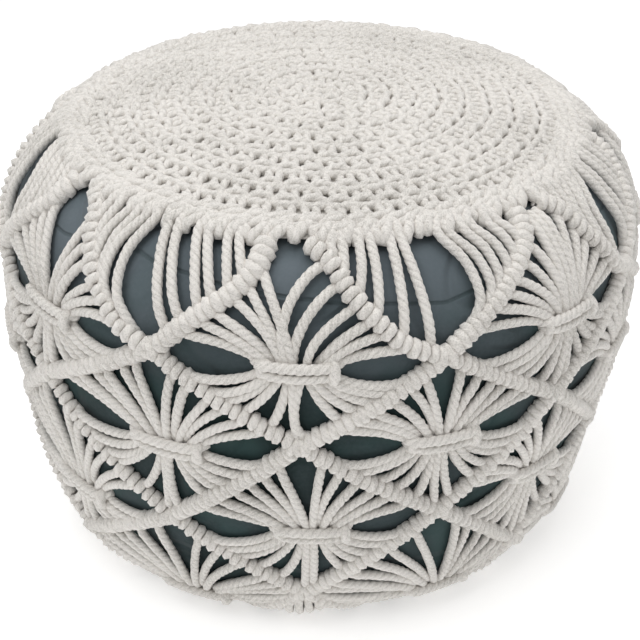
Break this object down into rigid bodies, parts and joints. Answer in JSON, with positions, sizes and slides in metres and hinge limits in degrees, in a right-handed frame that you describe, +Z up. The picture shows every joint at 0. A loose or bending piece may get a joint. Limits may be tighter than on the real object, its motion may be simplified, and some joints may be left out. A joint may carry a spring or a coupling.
{
  "type": "macrame pouf",
  "caption": "Round filled pouf with a slate cloth cushion inside a knotted cotton net and a crocheted cotton top.",
  "frame": {"origin": "middle of the flat base, on the surface that the pouf stands on", "axes": "+Z up through the crocheted top, -Y towards the front of the picture, +X to its right"},
  "size_m": [0.5038, 0.512, 0.3415],
  "materials": {
    "cotton_cord": "natural three-ply twisted cotton cord, matt and slightly hairy",
    "cushion_cloth": "slate blue-green woven cloth, softly creased"
  },
  "bodies": {
    "root": {"cushion": "cushion_cloth", "crochet_top": "cotton_cord", "macrame_net": "cotton_cord"}
  },
  "joints": []
}
